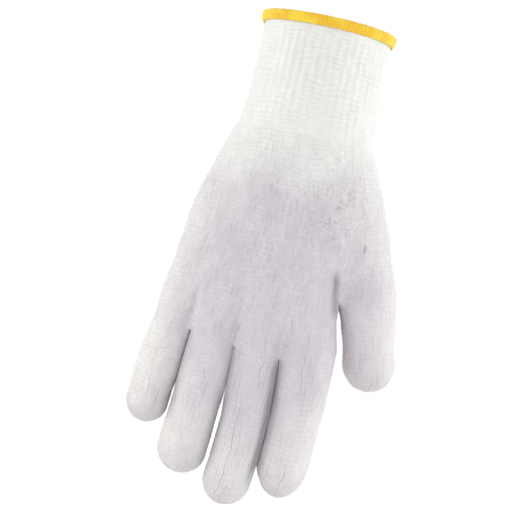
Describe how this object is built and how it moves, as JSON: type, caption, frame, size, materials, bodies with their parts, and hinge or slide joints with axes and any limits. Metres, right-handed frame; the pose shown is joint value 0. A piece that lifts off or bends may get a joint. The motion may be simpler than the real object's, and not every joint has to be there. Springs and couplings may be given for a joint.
{
  "type": "cotton work glove",
  "caption": "String-knit work glove in its rounded worn form, fingers down, with a ribbed cuff and an overlocked edge round the mouth.",
  "frame": {"origin": "centre of the cuff's mouth, in the plane of its edge", "axes": "+Z out of the mouth, so the fingers point along -Z; -Y is the back of the hand, +Y the palm; +X is the thumb's side"},
  "size_m": [0.1278, 0.0508, 0.2462],
  "materials": {
    "cotton_knit": "matt off-white cotton string, plain knit",
    "rib_knit": "matt off-white cotton string, ribbed",
    "edge_thread": "yellow overlocking thread"
  },
  "bodies": {
    "root": {"five_finger_palm": "cotton_knit", "thumb": "cotton_knit", "four_finger_palm": "cotton_knit", "little_finger": "cotton_knit", "ring_finger": "cotton_knit", "middle_finger": "cotton_knit", "index_finger": "cotton_knit", "rib_cuff": "rib_knit", "overlock_edge": "edge_thread"}
  },
  "joints": []
}
